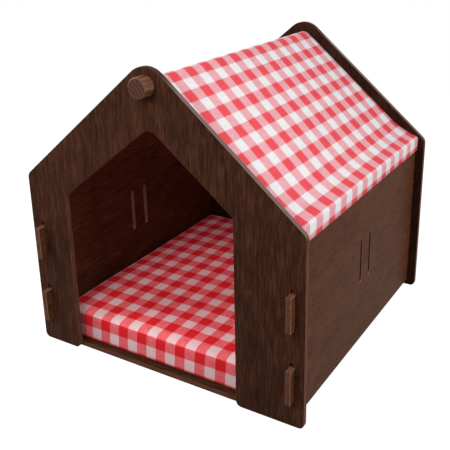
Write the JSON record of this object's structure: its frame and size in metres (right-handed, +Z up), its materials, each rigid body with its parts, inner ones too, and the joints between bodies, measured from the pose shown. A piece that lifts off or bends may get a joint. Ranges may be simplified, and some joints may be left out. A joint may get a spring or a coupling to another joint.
{
  "type": "pet house",
  "caption": "Gabled indoor pet house of slotted wood boards with a gingham cloth roof over a ridge rod, a doorway open to the ground and a loose box cushion.",
  "frame": {"origin": "on the ground below the middle of the house", "axes": "+X to the right seen from the front, the doorway faces -Y, +Z up"},
  "size_m": [0.4, 0.4272, 0.3988],
  "materials": {
    "walnut_veneer": "satin stained veneer",
    "walnut_rod": "satin stained wood",
    "gingham_cotton": "woven cotton",
    "foam": "open-cell foam",
    "hook_tape": "nylon hook tape",
    "loop_tape": "nylon loop tape"
  },
  "bodies": {
    "house": {"front_panel": "walnut_veneer", "back_panel": "walnut_veneer", "left_side_panel": "walnut_veneer", "right_side_panel": "walnut_veneer", "floor_panel": "walnut_veneer", "left_hook_strip": "hook_tape", "right_hook_strip": "hook_tape"},
    "rod": {"ridge_rod": "walnut_rod", "front_knob": "walnut_rod"},
    "back_knob": {"back_knob": "walnut_rod"},
    "roof": {"roof_cover": "gingham_cotton", "left_loop_strip": "loop_tape", "right_loop_strip": "loop_tape"},
    "cushion": {"cushion_cover": "gingham_cotton", "cushion_core": "foam"}
  },
  "joints": [
    {"name": "rod_slide", "type": "slide", "parent": "house", "child": "rod", "axis": [0, -1, 0], "range_m": [0, 0.411]},
    {"name": "back_knob_pull", "type": "slide", "parent": "house", "child": "back_knob", "axis": [0, 1, 0], "range_m": [0, 0.03]},
    {"name": "roof_lift", "type": "slide", "parent": "house", "child": "roof", "axis": [0, 0, 1], "range_m": [0, 0.19]},
    {"name": "cushion_lift", "type": "slide", "parent": "house", "child": "cushion", "axis": [0, 0, 1], "range_m": [0, 0.18]}
  ]
}
